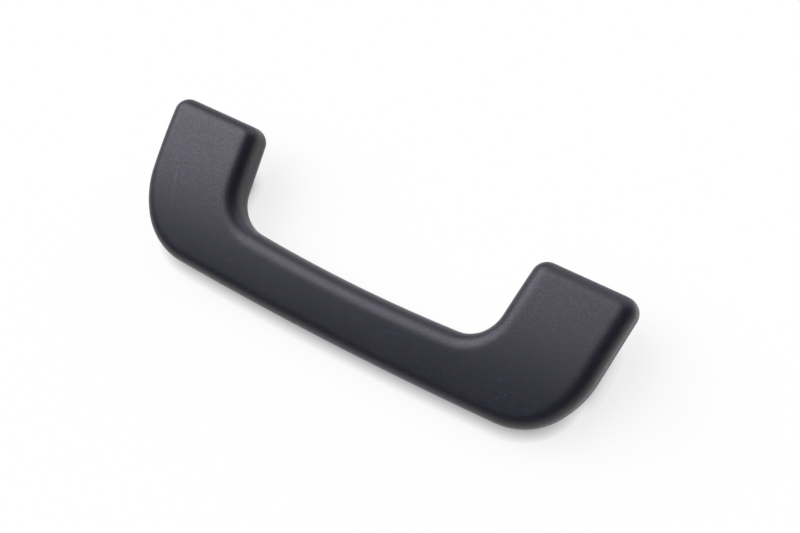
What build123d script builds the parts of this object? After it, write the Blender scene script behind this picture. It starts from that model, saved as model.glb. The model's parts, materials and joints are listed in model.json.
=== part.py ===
"""Folding roof grab handle: a one-piece U-shaped handle with a hinge module hidden in each end pad.

Seat frame: Z = 0 is the roof lining that the brackets are bolted against, +Z points into the cabin,
X runs along the handle and the origin lies midway between the two roof screws. Sizes are in millimetres.
Handle frame: u along X, v from the grip's lower edge up to the hinge edge, w out of the face.
"""

from build123d import *

import os
from math import acos, asin, atan, atan2, cos, degrees, hypot, radians, sin, sqrt, tan

os.makedirs("parts", exist_ok=True)

# Driving dimensions of the handle
mount_spacing = 189.0
pad_width = 48.4
handle_height = 71.6
grip_width = 29.5
grip_waist = 2.8
grip_bow = 2.4
grip_depth = 19.1
face_tilt = radians(15.0)
draft = 2.6

# Outline of the handle, at the depth where the mould opens
outer_lean = 0.113
inner_lean = 0.134
lower_radius = 31.0
lower_sweep = 53.6
flank_radius = 46.5
pad_corner = 7.6
crotch_radius = 16.8

# Face and edges
crown_radius = 200.0
crown_centre = 48.0
face_round = 6.4
back_round = 7.0
lining_gap = 0.8

# Pockets in the pads
pad_wall = 2.8
pocket_floor = 6.6
pocket_reach = 34.5
pocket_corner = 4.0
boss_radius = 4.0
boss_rib = 1.6

# Hinge
hinge_inset = 11.1
axis_w = -17.0
hinge_offset = 22.0
pin_radius = 2.0
running_gap = 0.05
side_gap = 0.1

# Hinge frames, screwed into the pockets
frame_seat = 10.4
frame_plate = 2.5
frame_drop = 7.5
frame_height = 17.0
arm_root = 8.0
frame_side_gap = 0.4
plate_corner = 2.0
ear_thickness = 3.0
ear_radius = 5.0
frame_screw_inset = 3.8
frame_screw_offset = 12.3
screw_radius = 1.5
screw_head_radius = 3.2
screw_head_height = 2.2
screw_bite = 4.6
recess_radius = 1.3

# Brackets
base_thickness = 3.5
base_corner = 4.0
base_rear = 12.0
neck_offset = 7.5
barrel_radius = 5.5
lug_thickness = 4.0
bush_wall = 1.0
bush_flange = 0.8
bush_flange_radius = 4.5
web_thickness = 3.0
post_width = 10.0
post_depth = 6.0
notch_width = 2.8

# Roof screw seats
roof_screw_bore = 3.3
sleeve_radius = 5.0
boss_wall = 2.0
sleeve_length = 6.0
cover_width = 16.0
cover_wall = 0.8
cover_gap = 1.4

# Stop buffers
buffer_radius = 3.4
buffer_height = 3.0
buffer_stem = 1.5
buffer_inset = 3.6
stop_gap = 0.05

# Return spring, in the left module
wire_radius = 0.8
coil_radius = 4.2
coil_pitch = 1.8
coil_turns = 8
lower_leg = 9.6
upper_leg = 11.5
mandrel_wall = 1.1

# Rotary damper, in the right module
damper_radius = 5.8
damper_wall = 1.2
damper_grease_gap = 0.3
damper_cap_thickness = 2.0
damper_spigot = 1.2
damper_key = 3.0
seal_radius = 0.55

# Values worked out from the driving dimensions
axis_v = handle_height - hinge_inset
pocket_lower = axis_v - pocket_reach
frame_upper = axis_v - frame_drop
frame_lower = frame_upper - frame_height
frame_screw_v = frame_lower + frame_screw_inset
buffer_v = frame_upper - buffer_inset
mould_depth = grip_depth + 1.0
lean_shift = (outer_lean + inner_lean) / 2 * (handle_height - axis_v)
hinge_x = mount_spacing / 2
half_length = hinge_x + pad_width / 2 + lean_shift
hinge_y = hinge_offset
face_y = hinge_y - axis_v * cos(face_tilt) + axis_w * sin(face_tilt)
face_z = lining_gap + back_round * (1 - sin(face_tilt)) + (grip_depth - back_round) * cos(face_tilt)
hinge_z = face_z + axis_v * sin(face_tilt) + axis_w * cos(face_tilt)

plate_inset = pad_wall + (mould_depth - frame_seat) * tan(radians(draft)) + frame_side_gap
root_x = half_length - outer_lean * (handle_height - frame_upper + arm_root)
ear_outer = root_x - plate_inset - hinge_x
ear_inner = ear_outer - ear_thickness
lug_outer = ear_inner - bush_flange - 2 * side_gap
lug_inner = lug_outer - lug_thickness
lug_middle = (lug_outer + lug_inner) / 2
bush_radius = pin_radius + running_gap + bush_wall
plate_back = -(frame_seat + frame_plate)
stop_w = plate_back - buffer_height - stop_gap
neck_y = hinge_y - neck_offset

spring_lift = plate_back + frame_plate + wire_radius + 0.2 - axis_w
spring_back = frame_upper - axis_v
spring_touch = (
    atan2(spring_lift, spring_back) - acos(coil_radius / hypot(spring_lift, spring_back)) + face_tilt
)
coil_length = coil_pitch * (coil_turns + 0.25 + spring_touch / radians(360))
notch_offset = coil_length / 2
damper_length = 2 * lug_inner - 4 * side_gap

face = Plane(origin=(0, face_y, face_z), x_dir=(1, 0, 0), z_dir=(0, -sin(face_tilt), cos(face_tilt)))
profile = Plane(origin=(0, face_y, face_z), x_dir=(0, cos(face_tilt), sin(face_tilt)), z_dir=(1, 0, 0))


def seat_y(v, w):
    """Seat-frame y of a point of the handle frame."""
    return face_y + v * cos(face_tilt) - w * sin(face_tilt)


def seat_z(v, w):
    """Seat-frame z of a point of the handle frame."""
    return face_z + v * sin(face_tilt) + w * cos(face_tilt)


def outer_x(v):
    """Outer straight side of a pad."""
    return half_length - outer_lean * (handle_height - v)


def inner_x(v):
    """Inner straight side of a pad."""
    return half_length - pad_width - inner_lean * (handle_height - v)


def crown_w(v):
    """Front face, a shallow arc across the handle."""
    return sqrt(crown_radius**2 - (v - crown_centre) ** 2) - crown_radius


def handle_outline():
    """Closed U outline of the handle: bowed lower edge, two-arc corners, leaning pads, waisted grip."""
    sweep_end = 90.0 - degrees(atan(outer_lean))
    start, turned, last = (radians(a) for a in (grip_bow, grip_bow + lower_sweep, sweep_end))
    corner_run = lower_radius * (sin(turned) - sin(start)) + flank_radius * (sin(last) - sin(turned))
    corner_rise = lower_radius * (cos(start) - cos(turned)) + flank_radius * (cos(turned) - cos(last))
    lower_end = outer_x(corner_rise) - corner_run
    bow_radius = lower_end / sin(start)
    bow_depth = bow_radius * (1 - cos(start))
    crotch = (inner_x(grip_width), grip_width)
    with BuildSketch() as outline:
        with BuildLine():
            lower = JernArc((0, -bow_depth), (1, 0), bow_radius, grip_bow)
            belly = JernArc(lower @ 1, lower % 1, lower_radius, lower_sweep)
            flank = JernArc(belly @ 1, belly % 1, flank_radius, sweep_end - grip_bow - lower_sweep)
            Polyline(
                flank @ 1,
                (outer_x(handle_height), handle_height),
                (inner_x(handle_height), handle_height),
                crotch,
            )
            mirror(about=Plane.YZ)
            ThreePointArc(crotch, (0, grip_width - grip_waist), (-crotch[0], crotch[1]))
        make_face()
        fillet(outline.vertices().group_by(Axis.Y)[-1], pad_corner)
        corners = [(side * crotch[0], crotch[1], 0) for side in (-1, 1)]
        fillet([outline.vertices().sort_by_distance(corner)[0] for corner in corners], crotch_radius)
    return outline.sketch


def pad_area(inset, inner, low, high, side, corner):
    """Part of a pad between two heights: the outline set in by a wall, cut at an inner bound, corners rounded."""
    reach = half_length - inner
    with BuildSketch() as area:
        add(handle_outline())
        offset(amount=-inset)
        with Locations((side * (inner + reach / 2), (low + high) / 2)):
            Rectangle(reach, high - low, mode=Mode.INTERSECT)
        offset(amount=-corner)
        offset(amount=corner)
    return area.sketch


cover_top = seat_z(frame_lower, plate_back) - cover_gap


def keep(piece, name):
    """Labels a finished piece and writes it as its own file."""
    piece.part.label = name
    export_step(piece.part, f"parts/{name}.step")


# Handle body: one moulding, crowned on its face, with a pocket and two screw bosses in each pad
with BuildPart() as grip_moulding:
    with BuildSketch(face.offset(-mould_depth)):
        add(handle_outline())
    extrude(amount=mould_depth + 2, taper=draft)
    with BuildSketch(profile):
        low, high = -10.0, handle_height + 10
        with BuildLine():
            crown = ThreePointArc((low, crown_w(low)), (crown_centre, 0), (high, crown_w(high)))
            Polyline(crown @ 1, (high, -grip_depth), (low, -grip_depth), crown @ 0)
        make_face()
    extrude(amount=half_length + 10, both=True, mode=Mode.INTERSECT)
    out_of_face = Axis((0, face_y, face_z), (0, -sin(face_tilt), cos(face_tilt)))
    fillet(grip_moulding.faces().sort_by(out_of_face)[-1].edges(), face_round)
    fillet(grip_moulding.faces().sort_by(out_of_face)[0].edges(), back_round)
    pocket_inner = inner_x(grip_width + crotch_radius) + pad_wall
    for side in (-1, 1):
        with BuildSketch(face.offset(-mould_depth)):
            add(pad_area(pad_wall, pocket_inner, pocket_lower, handle_height, side, pocket_corner))
        extrude(amount=mould_depth - pocket_floor, taper=draft, mode=Mode.SUBTRACT)
        boss_spots = [(side * hinge_x + s * frame_screw_offset, frame_screw_v) for s in (-1, 1)]
        with BuildSketch(face.offset(-frame_seat)):
            with Locations(boss_spots):
                Circle(boss_radius)
                with Locations((0, (pocket_lower - frame_screw_v) / 2)):
                    Rectangle(boss_rib, frame_screw_v - pocket_lower)
        extrude(amount=frame_seat - pocket_floor + 1)
        with BuildSketch(face.offset(-frame_seat)):
            with Locations(boss_spots):
                Circle(screw_radius)
        extrude(amount=screw_bite, mode=Mode.SUBTRACT)
keep(grip_moulding, "grip_moulding")

for side, hand in ((-1, "left"), (1, "right")):
    module_x = side * hinge_x

    # Hinge frame: a plate seated on the pocket's bosses, with two arms that end in the pin's ears
    with BuildPart() as hinge_frame:
        with BuildSketch(face.offset(-frame_seat)):
            add(pad_area(plate_inset, hinge_x - ear_outer, frame_lower, frame_upper, side, plate_corner))
        extrude(amount=-frame_plate)
        for s in (-1, 1):
            with BuildSketch(profile.offset(module_x + s * (ear_inner + ear_thickness / 2))):
                with Locations((axis_v, axis_w)):
                    Circle(ear_radius)
                with Locations((frame_upper - arm_root / 2, plate_back + frame_plate / 2)):
                    Rectangle(arm_root, frame_plate)
                make_hull()
            extrude(amount=ear_thickness / 2, both=True)
        with BuildSketch(profile.offset(module_x)):
            with Locations((axis_v, axis_w)):
                Circle(pin_radius)
        extrude(amount=ear_outer + 1, both=True, mode=Mode.SUBTRACT)
        with BuildSketch(face.offset(-frame_seat)):
            with Locations([(module_x + s * frame_screw_offset, frame_screw_v) for s in (-1, 1)]):
                Circle(screw_radius + 0.25)
            with Locations((module_x, buffer_v)):
                Circle(buffer_stem)
        extrude(amount=-frame_plate, mode=Mode.SUBTRACT)
    keep(hinge_frame, f"{hand}_hinge_frame")

    # Screws that hold the hinge frame on its bosses
    for s, place in ((side, "outer"), (-side, "inner")):
        spot = (module_x + s * frame_screw_offset, frame_screw_v)
        with BuildPart() as frame_screw:
            with BuildSketch(face.offset(plate_back)):
                with Locations(spot):
                    Circle(screw_head_radius)
            extrude(amount=-screw_head_height)
            chamfer(frame_screw.faces().sort_by(out_of_face)[0].edges(), 0.5)
            with BuildSketch(face.offset(plate_back)):
                with Locations(spot):
                    Circle(screw_radius)
            extrude(amount=frame_plate + screw_bite - 0.4)
            with BuildSketch(face.offset(plate_back - screw_head_height)):
                with Locations(spot):
                    RegularPolygon(recess_radius, 6)
            extrude(amount=screw_head_height * 0.6, mode=Mode.SUBTRACT)
        keep(frame_screw, f"{hand}_{place}_frame_screw")

    # Hinge pin, held by the ears
    with BuildPart() as hinge_pin:
        with BuildSketch(Plane.YZ.offset(module_x)):
            with Locations((hinge_y, hinge_z)):
                Circle(pin_radius)
        extrude(amount=ear_outer, both=True)
        chamfer(hinge_pin.edges().filter_by(GeomType.CIRCLE), 0.4)
    keep(hinge_pin, f"{hand}_hinge_pin")

    # Rubber buffer plugged into the frame, stopping the folded handle on the bracket's post
    with BuildPart() as stop_buffer:
        with BuildSketch(face.offset(plate_back)):
            with Locations((module_x, buffer_v)):
                Circle(buffer_radius)
        extrude(amount=-buffer_height)
        fillet(stop_buffer.faces().sort_by(out_of_face)[0].edges(), 0.8)
        with BuildSketch(face.offset(plate_back)):
            with Locations((module_x, buffer_v)):
                Circle(buffer_stem)
        extrude(amount=frame_plate)
    keep(stop_buffer, f"{hand}_stop_buffer")

    # Bracket: foot on the roof, screw boss, two gooseneck cheeks with lugs, and a web with a stop post
    with BuildPart() as bracket:
        with BuildSketch() as foot:
            with Locations((module_x, (neck_y - base_rear) / 2)):
                RectangleRounded(2 * lug_outer + 4.0, neck_y + base_rear, base_corner)
        extrude(amount=base_thickness)
        with BuildSketch():
            with Locations((module_x, 0)):
                Circle(sleeve_radius + boss_wall)
        extrude(amount=sleeve_length)
        reach_y, reach_z = hinge_y + base_rear - 3.0, hinge_z - base_thickness
        rise = atan2(reach_z, reach_y) + asin(barrel_radius / hypot(reach_y, reach_z))
        run = sqrt(reach_y**2 + reach_z**2 - barrel_radius**2)
        cheek_rear = 3.0 - base_rear
        shoulder = (cheek_rear + run * cos(rise), base_thickness + run * sin(rise))
        under_barrel = (hinge_y, hinge_z - barrel_radius)
        elbow = (neck_y, hinge_z - barrel_radius)
        for s in (-1, 1):
            with BuildSketch(Plane.YZ.offset(module_x + s * lug_middle)) as cheek:
                with BuildLine():
                    Polyline(
                        under_barrel,
                        elbow,
                        (neck_y, 0),
                        (cheek_rear, 0),
                        (cheek_rear, base_thickness),
                        shoulder,
                    )
                    ThreePointArc(shoulder, (hinge_y + barrel_radius, hinge_z), under_barrel)
                make_face()
                fillet(cheek.vertices().sort_by_distance((elbow[0], elbow[1], 0))[0], 2.0)
            extrude(amount=lug_thickness / 2, both=True)
        for width, depth in ((2 * lug_inner, web_thickness), (post_width, post_depth)):
            rear_y = neck_y - depth
            front_v = (neck_y - face_y + stop_w * sin(face_tilt)) / cos(face_tilt)
            rear_v = (rear_y - face_y + stop_w * sin(face_tilt)) / cos(face_tilt)
            with BuildSketch(Plane.YZ.offset(module_x)):
                with BuildLine():
                    Polyline(
                        (neck_y, 0),
                        (neck_y, seat_z(front_v, stop_w)),
                        (rear_y, seat_z(rear_v, stop_w)),
                        (rear_y, 0),
                        close=True,
                    )
                make_face()
            extrude(amount=width / 2, both=True)
        with BuildSketch(Plane.YZ.offset(module_x)):
            with Locations((hinge_y, hinge_z)):
                Circle(bush_radius)
        extrude(amount=lug_outer + 1, both=True, mode=Mode.SUBTRACT)
        with BuildSketch():
            with Locations((module_x, 0)):
                Circle(sleeve_radius)
        extrude(amount=sleeve_length, mode=Mode.SUBTRACT)
        notch_floor = hinge_z - coil_radius - wire_radius - 0.2
        for s in (-1, 1):
            with BuildSketch(Plane.XY.offset(notch_floor)):
                with Locations((module_x + s * notch_offset, neck_y - web_thickness / 2)):
                    Rectangle(notch_width, web_thickness)
            extrude(amount=hinge_z - notch_floor, mode=Mode.SUBTRACT)
    keep(bracket, f"{hand}_bracket")

    # Steel sleeve that carries the clamping load of the roof screw
    with BuildPart() as clamp_sleeve:
        with BuildSketch():
            with Locations((module_x, 0)):
                Circle(sleeve_radius)
                Circle(roof_screw_bore, mode=Mode.SUBTRACT)
        extrude(amount=sleeve_length)
    keep(clamp_sleeve, f"{hand}_clamp_sleeve")

    # Flanged bushes, pressed into the bracket's lugs, that the pin turns in
    for s, place in ((side, "outer"), (-side, "inner")):
        with BuildPart() as bush:
            with BuildSketch(Plane.YZ.offset(module_x + s * lug_inner)):
                with Locations((hinge_y, hinge_z)):
                    Circle(bush_radius)
            extrude(amount=s * lug_thickness)
            with BuildSketch(Plane.YZ.offset(module_x + s * lug_outer)):
                with Locations((hinge_y, hinge_z)):
                    Circle(bush_flange_radius)
            extrude(amount=s * bush_flange)
            with BuildSketch(Plane.YZ.offset(module_x)):
                with Locations((hinge_y, hinge_z)):
                    Circle(pin_radius + running_gap)
            extrude(amount=s * ear_outer, mode=Mode.SUBTRACT)
        keep(bush, f"{hand}_{place}_bush")

    # Cover over the head of the roof screw, reached only with the handle folded down
    with BuildPart() as screw_cover:
        with BuildSketch(Plane.XY.offset(base_thickness)):
            with Locations((module_x, 0)):
                RectangleRounded(cover_width, cover_width, 2.5)
        extrude(amount=cover_top - base_thickness)
        fillet(screw_cover.faces().sort_by(Axis.Z)[-1].edges(), 1.2)
        with BuildSketch(Plane.XY.offset(base_thickness)):
            with Locations((module_x, 0)):
                RectangleRounded(cover_width - 2 * cover_wall, cover_width - 2 * cover_wall, 1.7)
        extrude(amount=cover_top - base_thickness - cover_wall, mode=Mode.SUBTRACT)
    keep(screw_cover, f"{hand}_screw_cover")

# Return spring: its lower leg stands in the bracket's notch, its upper leg bears on the frame's plate
spring_x = -hinge_x
coil_start = (spring_x - coil_length / 2, hinge_y, hinge_z)
coil = Plane(origin=coil_start, x_dir=(0, 0, -1), z_dir=(1, 0, 0)) * Helix(coil_pitch, coil_length, coil_radius)
with BuildPart() as return_spring:
    with BuildSketch(Plane(coil @ 0, z_dir=coil % 0)):
        Circle(wire_radius)
    sweep(path=coil, is_frenet=True)
    with BuildSketch(Plane(coil @ 0, z_dir=-(coil % 0))):
        Circle(wire_radius)
    extrude(amount=lower_leg)
    with BuildSketch(Plane(coil @ 1, z_dir=coil % 1)):
        Circle(wire_radius)
    extrude(amount=upper_leg)
keep(return_spring, "return_spring")

# Mandrel that keeps the coils from rattling on the pin
with BuildPart() as spring_mandrel:
    with BuildSketch(Plane.YZ.offset(spring_x)):
        with Locations((hinge_y, hinge_z)):
            Circle(pin_radius + running_gap + mandrel_wall)
            Circle(pin_radius + running_gap, mode=Mode.SUBTRACT)
    extrude(amount=lug_inner - side_gap, both=True)
keep(spring_mandrel, "spring_mandrel")

# Rotary damper around the right pin: a keyed cup, a drum that turns in grease, a seal and a cap
damper_start = hinge_x - damper_length / 2
damper_inner = damper_radius - damper_wall
drum_start = damper_start + damper_wall + damper_grease_gap
drum_end = damper_start + damper_length - damper_cap_thickness - damper_spigot - 2 * seal_radius - 0.2
with BuildPart() as damper_housing:
    with BuildSketch(Plane.YZ.offset(damper_start)):
        with Locations((hinge_y, hinge_z)):
            Circle(damper_radius)
    extrude(amount=damper_length - damper_cap_thickness)
    with BuildSketch(Plane.XY.offset(notch_floor + 0.2)):
        key_front = hinge_y - damper_radius / 2
        key_rear = neck_y - web_thickness * 0.7
        with Locations((hinge_x - notch_offset, (key_front + key_rear) / 2)):
            Rectangle(notch_width - 0.2, key_front - key_rear)
    extrude(amount=damper_key)
    with BuildSketch(Plane.YZ.offset(damper_start + damper_wall)):
        with Locations((hinge_y, hinge_z)):
            Circle(damper_inner)
    extrude(amount=damper_length, mode=Mode.SUBTRACT)
    with BuildSketch(Plane.YZ.offset(damper_start)):
        with Locations((hinge_y, hinge_z)):
            Circle(pin_radius + running_gap)
    extrude(amount=damper_wall, mode=Mode.SUBTRACT)
keep(damper_housing, "damper_housing")

with BuildPart() as damper_rotor:
    with BuildSketch(Plane.YZ.offset(drum_start)):
        with Locations((hinge_y, hinge_z)):
            Circle(damper_inner - damper_grease_gap)
            Circle(pin_radius, mode=Mode.SUBTRACT)
    extrude(amount=drum_end - drum_start)
keep(damper_rotor, "damper_rotor")

with BuildPart() as damper_cap:
    with BuildSketch(Plane.YZ.offset(damper_start + damper_length - damper_cap_thickness)):
        with Locations((hinge_y, hinge_z)):
            Circle(damper_radius)
    extrude(amount=damper_cap_thickness)
    with BuildSketch(Plane.YZ.offset(damper_start + damper_length - damper_cap_thickness)):
        with Locations((hinge_y, hinge_z)):
            Circle(damper_inner)
    extrude(amount=-damper_spigot)
    with BuildSketch(Plane.YZ.offset(damper_start + damper_length)):
        with Locations((hinge_y, hinge_z)):
            Circle(pin_radius + running_gap)
    extrude(amount=-damper_length, mode=Mode.SUBTRACT)
keep(damper_cap, "damper_cap")

with BuildPart() as damper_seal:
    with BuildSketch(Plane.XZ.offset(-hinge_y)):
        with Locations((drum_end + 0.1 + seal_radius, hinge_z + pin_radius + running_gap + seal_radius)):
            Circle(seal_radius)
    revolve(axis=Axis((0, hinge_y, hinge_z), (1, 0, 0)), revolution_arc=360)
keep(damper_seal, "damper_seal")

print("hinge axis at y", round(hinge_y, 3), "z", round(hinge_z, 3))
print("overall length", round(2 * half_length, 2))
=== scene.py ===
"""Looks of the folding roof grab handle: fine-grained dark moulding on a pale surface, in soft daylight."""
import json
import math

import bpy
from mathutils import Matrix, Vector


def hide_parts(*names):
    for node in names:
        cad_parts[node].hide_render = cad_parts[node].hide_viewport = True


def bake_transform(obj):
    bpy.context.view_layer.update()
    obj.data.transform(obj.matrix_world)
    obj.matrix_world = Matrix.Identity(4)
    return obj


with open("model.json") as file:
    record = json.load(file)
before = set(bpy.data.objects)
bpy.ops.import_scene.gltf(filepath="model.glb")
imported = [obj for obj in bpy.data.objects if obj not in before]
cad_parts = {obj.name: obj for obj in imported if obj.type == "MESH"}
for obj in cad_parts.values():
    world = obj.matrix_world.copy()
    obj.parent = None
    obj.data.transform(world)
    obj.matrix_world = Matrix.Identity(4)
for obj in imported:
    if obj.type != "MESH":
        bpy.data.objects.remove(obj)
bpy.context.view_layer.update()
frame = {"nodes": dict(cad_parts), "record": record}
scene = bpy.context.scene
scene.view_settings.view_transform = "Standard"

MILLIMETRE = 0.001

# Mould grain: scale to the metre, the fine grain's share of the height, and what it does to gloss and colour
FINE_GRAIN, COARSE_GRAIN = 2200.0, 850.0
FINE_SHARE = 0.6
GLOSS_PITS, COLOUR_CLOUDS = 900.0, 45.0
GLOSS_CHANGE, COLOUR_CHANGE = 0.08, 0.10
CLOUD_RANGE = (0.3, 0.7)

# Dust specks: cells and dusty fields to the metre, how full a cell a speck is, and where a field starts
SPECK_CELLS, DUSTY_FIELDS = 230.0, 60.0
SPECK_RANGE = (0.05, 0.09)
DUSTY_RANGE = (0.66, 0.72)
DUST_STRENGTH = 0.35

# Hair scratches along the handle: how many to the metre, how thin, and where they show
SCRATCHES, SCRATCH_THINNESS = 60.0, 14.0
SCRATCH_RANGE = (0.70, 0.74)
SCRATCH_LIGHTER, SPECK_LIGHTER = 3.4, 6.0

# Long faint scuff down the left pad, and three light nicks low on the right pad:
# centre, turn, half length and half width
SCUFFS = (((-0.0991, -0.0083), math.radians(-74.6), 0.0150, 0.0008),
          ((-0.1035, 0.0010), math.radians(-78.0), 0.0080, 0.0006))
NICKS = (((0.0820, -0.0296), 0.0, 0.0007, 0.0005), ((0.0799, -0.0322), 0.6, 0.0006, 0.0005),
         ((0.0846, -0.0272), 0.3, 0.0007, 0.0005))

# Finishes: grain depth and the softening of rounded edges are in millimetres
HANDLE_COLOUR = (0.0125, 0.0125, 0.0205)
FINISHES = {
    "handle_plastic": dict(colour=HANDLE_COLOUR, rough=0.39, grain=0.042, wear=0.6, ease=3.5),
    "cover_plastic": dict(colour=HANDLE_COLOUR, rough=0.39, grain=0.042),
    "bracket_nylon": dict(colour=(0.022, 0.022, 0.024), rough=0.48, grain=0.015),
    "pressed_steel": dict(colour=(0.46, 0.47, 0.49), rough=0.38, grain=0.006, metallic=1.0),
    "screw_steel": dict(colour=(0.52, 0.49, 0.38), rough=0.34, grain=0.004, metallic=1.0),
    "pin_steel": dict(colour=(0.58, 0.58, 0.60), rough=0.24, grain=0.002, metallic=1.0),
    "sleeve_steel": dict(colour=(0.50, 0.50, 0.52), rough=0.36, grain=0.005, metallic=1.0),
    "spring_steel": dict(colour=(0.42, 0.43, 0.46), rough=0.28, grain=0.003, metallic=1.0),
    "buffer_rubber": dict(colour=(0.014, 0.014, 0.014), rough=0.82, grain=0.010),
    "bush_acetal": dict(colour=(0.74, 0.73, 0.68), rough=0.42, grain=0.004),
    "damper_acetal": dict(colour=(0.68, 0.67, 0.62), rough=0.42, grain=0.004),
    "damper_plastic": dict(colour=(0.03, 0.03, 0.034), rough=0.44, grain=0.010),
}

# Surface under the handle: its own colour, the white mixed over it, and the reach of the painted contact
# shadow
FLOOR_COLOUR, FLOOR_ROUGH, FLOOR_SHINE = (0.88, 0.88, 0.82), 0.9, 0.1
FLOOR_WHITE, WHITE_SHARE = 1.02, 0.80
PAINTED_SHADOW_REACH = 0.007
FLOOR_SIZE = 8.0

# Light: patches by the way to the middle, the cosines at the rim and at full light, and the light
HIGH_LIGHT = ((-0.62, 0.12, 0.78), 0.72, 0.98, 4.1)
LOW_LIGHT = ((0.10, 0.95, 0.30), 0.75, 0.98, 1.3)
SURROUND = 0.12
SKY_COLOUR = (0.960, 0.950, 1.062)

# Camera, from the photograph's outline: where it aims, and how it is turned and rolled, in degrees
AIM = Vector((0.014419, 0.003570, 0.015))
CAMERA_AZIMUTH, CAMERA_ELEVATION, CAMERA_ROLL = 55.775, 64.388, -27.383
CAMERA_DISTANCE = 0.539118
FOCAL_PIXELS, IMAGE_WIDTH, SENSOR = 1229.284, 800.0, 36.0
NEAREST, FARTHEST = 0.01, 20.0


# Node helpers
def node(tree, kind, **values):
    made = tree.nodes.new(kind)
    for key, value in values.items():
        setattr(made, key, value)
    return made


def set_inputs(made, **values):
    for key, value in values.items():
        made.inputs[key.replace("_", " ")].default_value = value


def new_group(name, given, outputs):
    """An empty node group with one named value going in and named values coming out."""
    group = bpy.data.node_groups.new(name, "ShaderNodeTree")
    group.interface.new_socket(given, in_out="INPUT", socket_type="NodeSocketFloat")
    for label in outputs:
        group.interface.new_socket(label, in_out="OUTPUT", socket_type="NodeSocketFloat")
    return group, node(group, "NodeGroupInput"), node(group, "NodeGroupOutput")


def placed(tree, mapping, texture):
    """Reads a texture in object coordinates, turned or stretched by a mapping."""
    place = node(tree, "ShaderNodeTexCoord")
    tree.links.new(place.outputs["Object"], mapping.inputs["Vector"])
    tree.links.new(mapping.outputs["Vector"], texture.inputs["Vector"])
    return texture.outputs["Fac"]


def object_noise(tree, scale, detail, rough=0.6, stretch=(1, 1, 1)):
    """Noise in object coordinates; scale is per metre."""
    mapping = node(tree, "ShaderNodeMapping")
    set_inputs(mapping, Scale=stretch)
    noise = node(tree, "ShaderNodeTexNoise")
    set_inputs(noise, Scale=scale, Detail=detail, Roughness=rough)
    return placed(tree, mapping, noise)


def spot(tree, centre, turn, half_length, half_width):
    """Soft long spot on the face, seen along Z: 1 in its middle and 0 past its rim."""
    mapping = node(tree, "ShaderNodeMapping", vector_type="TEXTURE")
    set_inputs(mapping, Location=(*centre, 0.0), Rotation=(0.0, 0.0, turn),
               Scale=(half_length, half_width, 1.0))
    return placed(tree, mapping, node(tree, "ShaderNodeTexGradient", gradient_type="SPHERICAL"))


def remap(tree, source, start_end, to_start=0.0, to_end=1.0):
    made = node(tree, "ShaderNodeMapRange")
    set_inputs(made, From_Min=start_end[0], From_Max=start_end[1], To_Min=to_start, To_Max=to_end)
    tree.links.new(source, made.inputs["Value"])
    return made.outputs["Result"]


def maths(tree, operation, a, b):
    made = node(tree, "ShaderNodeMath", operation=operation)
    for index, value in enumerate((a, b)):
        if isinstance(value, (int, float)):
            made.inputs[index].default_value = value
        else:
            tree.links.new(value, made.inputs[index])
    return made.outputs["Value"]


def grain_group():
    """Eroded mould grain: a height for the bump, a fine change of gloss and a faint mottling of colour."""
    group, start, end = new_group("mould_grain", "Depth", ("Height", "Gloss", "Mottle"))
    fine = maths(group, "MULTIPLY", object_noise(group, FINE_GRAIN, 2.0), FINE_SHARE)
    coarse = maths(group, "MULTIPLY", object_noise(group, COARSE_GRAIN, 1.0, 0.5), 1.0 - FINE_SHARE)
    height = maths(group, "MULTIPLY", maths(group, "ADD", fine, coarse), start.outputs["Depth"])
    group.links.new(height, end.inputs["Height"])
    for label, scale, detail in (("Gloss", GLOSS_PITS, 2.0), ("Mottle", COLOUR_CLOUDS, 4.0)):
        group.links.new(remap(group, object_noise(group, scale, detail), CLOUD_RANGE), end.inputs[label])
    return group


def wear_group():
    """Sparse dust specks, nicks, and thin hair scratches with a few scuffs, from 0 where clean to 1."""
    group, start, end = new_group("light_wear", "Amount", ("Specks", "Scratches"))
    cells = node(group, "ShaderNodeTexVoronoi", feature="F1")
    set_inputs(cells, Scale=SPECK_CELLS, Randomness=1.0)
    place = node(group, "ShaderNodeTexCoord")
    group.links.new(place.outputs["Object"], cells.inputs["Vector"])
    dots = remap(group, cells.outputs["Distance"], SPECK_RANGE, 1.0, 0.0)
    fields = object_noise(group, DUSTY_FIELDS, 1.0, 0.55)
    specks = maths(group, "MULTIPLY", dots, remap(group, fields, DUSTY_RANGE, 0.0, DUST_STRENGTH))
    lines = object_noise(group, SCRATCHES, 2.0, 0.5, (1.0, SCRATCH_THINNESS, SCRATCH_THINNESS))
    scratches = remap(group, lines, SCRATCH_RANGE)
    for label, marks, spots in (("Specks", specks, NICKS), ("Scratches", scratches, SCUFFS)):
        for values in spots:
            marks = maths(group, "MAXIMUM", marks, spot(group, *values))
        group.links.new(maths(group, "MULTIPLY", marks, start.outputs["Amount"]), end.inputs[label])
    return group


GRAIN = grain_group()
WEAR = wear_group()


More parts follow.
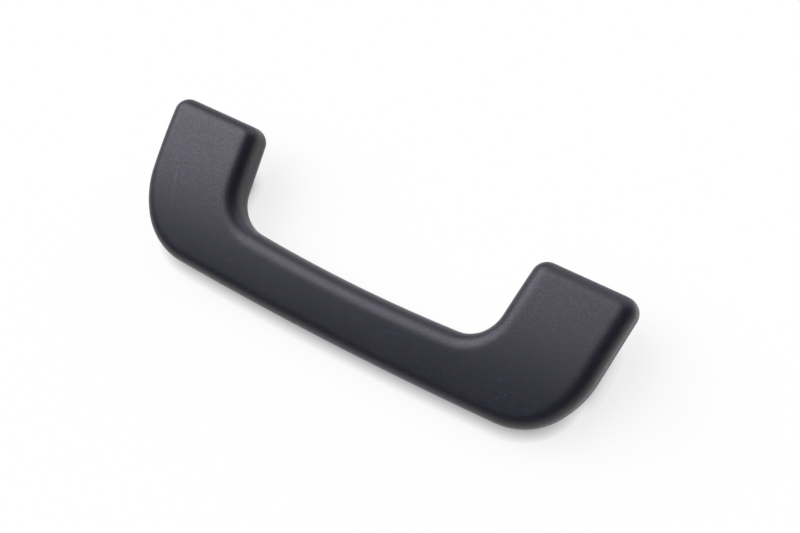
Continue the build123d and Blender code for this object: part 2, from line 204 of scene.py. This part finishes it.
def finish(name, colour, rough, grain, metallic=0.0, wear=0.0, ease=0.0):
    """A grained material; wear is from 0 to 1, and ease softens the light where a face meets its rounding."""
    made = bpy.data.materials.new(name)
    made.use_nodes = True
    tree = made.node_tree
    shader = tree.nodes["Principled BSDF"]
    set_inputs(shader, Base_Color=(*colour, 1.0), Roughness=rough, Metallic=metallic)
    texture = node(tree, "ShaderNodeGroup", node_tree=GRAIN)
    set_inputs(texture, Depth=grain)
    bump = node(tree, "ShaderNodeBump")
    set_inputs(bump, Strength=1.0, Distance=MILLIMETRE)
    tree.links.new(texture.outputs["Height"], bump.inputs["Height"])
    if ease:
        soft = node(tree, "ShaderNodeBevel", samples=6)
        set_inputs(soft, Radius=ease * MILLIMETRE)
        tree.links.new(soft.outputs["Normal"], bump.inputs["Normal"])
    tree.links.new(bump.outputs["Normal"], shader.inputs["Normal"])
    gloss = remap(tree, texture.outputs["Gloss"], (0.0, 1.0), rough - GLOSS_CHANGE, rough + GLOSS_CHANGE)
    tree.links.new(gloss, shader.inputs["Roughness"])
    tint = node(tree, "ShaderNodeMix", data_type="RGBA")
    for end, level in (("A", 1.0 - COLOUR_CHANGE), ("B", 1.0 + COLOUR_CHANGE)):
        tint.inputs[end].default_value = (*(c * level for c in colour), 1.0)
    tree.links.new(texture.outputs["Mottle"], tint.inputs["Factor"])
    last = tint.outputs["Result"]
    if wear:
        marks = node(tree, "ShaderNodeGroup", node_tree=WEAR)
        set_inputs(marks, Amount=wear)
        for output, lighter in (("Scratches", SCRATCH_LIGHTER), ("Specks", SPECK_LIGHTER)):
            layer = node(tree, "ShaderNodeMix", data_type="RGBA")
            layer.inputs["B"].default_value = (*(c * lighter for c in colour), 1.0)
            tree.links.new(marks.outputs[output], layer.inputs["Factor"])
            tree.links.new(last, layer.inputs["A"])
            last = layer.outputs["Result"]
    tree.links.new(last, shader.inputs["Base Color"])
    return made


materials = {name: finish(name, **values) for name, values in FINISHES.items()}
for part in frame["record"]["subparts"]:
    for slot in frame["nodes"][part["node"]].material_slots:
        slot.material = materials[part["material_slot"]]


# Return spring, which winds up between the bracket and the handle as it folds down: the same coil, merged and
# smooth-shaded, shown instead
bpy.ops.object.select_all(action="DESELECT")
coil = bpy.data.objects.new("return_spring_coil", frame["nodes"]["return_spring"].data.copy())
scene.collection.objects.link(coil)
bpy.context.view_layer.objects.active = coil
coil.select_set(True)
bpy.ops.object.mode_set(mode="EDIT")
bpy.ops.mesh.select_all(action="SELECT")
bpy.ops.mesh.remove_doubles(threshold=1e-6)
bpy.ops.object.mode_set(mode="OBJECT")
bpy.ops.object.shade_smooth_by_angle(angle=math.radians(40))
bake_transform(coil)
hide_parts("return_spring")


# Surface that the handle lies on
def floor_material():
    """Matt pale surface that the camera and reflections see nearly white; that white holds a painted contact
    shadow near the handle, and lit shadows show faintly.
    """
    made = bpy.data.materials.new("pale_surface")
    made.use_nodes = True
    tree = made.node_tree
    shader = tree.nodes["Principled BSDF"]
    set_inputs(shader, Base_Color=(*FLOOR_COLOUR, 1.0), Roughness=FLOOR_ROUGH,
               Specular_IOR_Level=FLOOR_SHINE)
    white_and_painted_shadow = node(tree, "ShaderNodeEmission")
    # Painted contact shadow: ambient occlusion darkens the white emission where the floor is near the handle
    painted_contact_shadow = node(tree, "ShaderNodeAmbientOcclusion", samples=8)
    set_inputs(painted_contact_shadow, Distance=PAINTED_SHADOW_REACH)
    tree.links.new(maths(tree, "MULTIPLY", painted_contact_shadow.outputs["AO"], FLOOR_WHITE), white_and_painted_shadow.inputs["Strength"])
    seen = node(tree, "ShaderNodeLightPath")
    both = node(tree, "ShaderNodeMixShader")
    straight = maths(tree, "ADD", seen.outputs["Is Camera Ray"], seen.outputs["Is Glossy Ray"])
    tree.links.new(maths(tree, "MULTIPLY", straight, WHITE_SHARE), both.inputs["Fac"])
    tree.links.new(shader.outputs["BSDF"], both.inputs[1])
    tree.links.new(white_and_painted_shadow.outputs["Emission"], both.inputs[2])
    tree.links.new(both.outputs["Shader"], tree.nodes["Material Output"].inputs["Surface"])
    return made


bpy.ops.mesh.primitive_plane_add(size=FLOOR_SIZE, location=(0, 0, 0))
floor = bpy.context.object
floor.name = "pale_floor"
floor.data.materials.append(floor_material())


# Light: one broad bright patch high up on the left and a weak one low behind, on a dim surround
def sky(patches, dim):
    """Soft round patches of light on a world that is dim elsewhere."""
    world = bpy.data.worlds.new("soft_daylight")
    scene.world = world
    world.use_nodes = True
    tree = world.node_tree
    background = tree.nodes["Background"]
    place = node(tree, "ShaderNodeTexCoord")
    total = dim
    for way, rim, full, light in patches:
        dot = node(tree, "ShaderNodeVectorMath", operation="DOT_PRODUCT")
        dot.inputs[1].default_value = Vector(way).normalized()
        tree.links.new(place.outputs["Generated"], dot.inputs[0])
        patch = node(tree, "ShaderNodeMapRange", interpolation_type="SMOOTHSTEP")
        set_inputs(patch, From_Min=rim, From_Max=full, To_Min=0.0, To_Max=light)
        tree.links.new(dot.outputs["Value"], patch.inputs["Value"])
        total = maths(tree, "ADD", patch.outputs["Result"], total)
    tree.links.new(total, background.inputs["Strength"])
    set_inputs(background, Color=(*SKY_COLOUR, 1.0))


sky((HIGH_LIGHT, LOW_LIGHT), SURROUND)


# Camera
azimuth, elevation, roll = (math.radians(a) for a in (CAMERA_AZIMUTH, CAMERA_ELEVATION, CAMERA_ROLL))
back = Vector((math.sin(azimuth) * math.cos(elevation), -math.cos(azimuth) * math.cos(elevation),
               math.sin(elevation)))
level_right = (-back).cross(Vector((0, 0, 1))).normalized()
level_down = (-back).cross(level_right)
right = level_right * math.cos(roll) - level_down * math.sin(roll)
down = level_right * math.sin(roll) + level_down * math.cos(roll)
lens = bpy.data.cameras.new("camera")
lens.sensor_width = SENSOR
lens.lens = FOCAL_PIXELS / IMAGE_WIDTH * SENSOR
lens.clip_start, lens.clip_end = NEAREST, FARTHEST
camera = bpy.data.objects.new("camera", lens)
scene.collection.objects.link(camera)
turn = Matrix((right, -down, back)).transposed()
camera.matrix_world = Matrix.Translation(AIM + back * CAMERA_DISTANCE) @ turn.to_4x4()
scene.camera = camera

bpy.context.view_layer.update()
